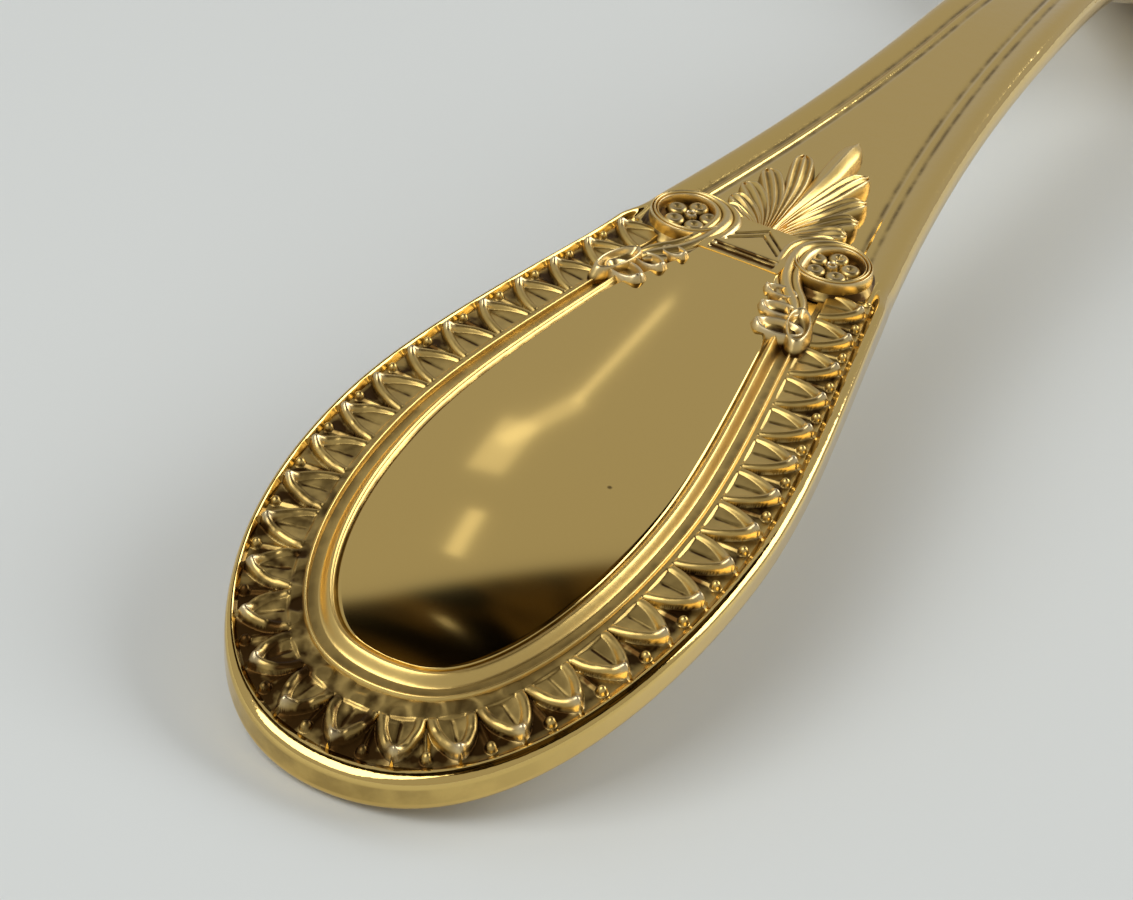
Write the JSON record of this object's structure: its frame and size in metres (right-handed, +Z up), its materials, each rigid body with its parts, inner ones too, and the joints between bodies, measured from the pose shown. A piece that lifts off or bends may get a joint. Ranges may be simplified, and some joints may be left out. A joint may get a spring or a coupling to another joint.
{
  "type": "teaspoon",
  "caption": "Gilt teaspoon with an oval bowl, reeded stem and leaf-and-dart terminal carrying a plaque, volutes and palmette.",
  "frame": {"origin": "on the table, under the middle of the spoon's length and width", "axes": "+X from the handle tip to the bowl tip, +Y to the left, +Z up from the table"},
  "size_m": [0.14, 0.029, 0.012],
  "materials": {
    "gilt": "polished gold plate",
    "gilt_relief": "gold plate, worn on the high points and tarnished in the recesses"
  },
  "bodies": {
    "root": {"bowl": "gilt", "neck": "gilt", "stem": "gilt", "terminal": "gilt", "rim_moulding": "gilt", "tongue_leaves": "gilt_relief", "darts": "gilt_relief", "beads": "gilt_relief", "frame_ridge": "gilt", "frame_bevel": "gilt", "plaque": "gilt", "lintel": "gilt_relief", "bud": "gilt_relief", "palmette": "gilt_relief", "left_volute": "gilt_relief", "right_volute": "gilt_relief", "left_rosette": "gilt_relief", "right_rosette": "gilt_relief", "left_acanthus": "gilt_relief", "right_acanthus": "gilt_relief", "left_thread": "gilt", "right_thread": "gilt", "left_inner_thread": "gilt", "right_inner_thread": "gilt"}
  },
  "joints": []
}
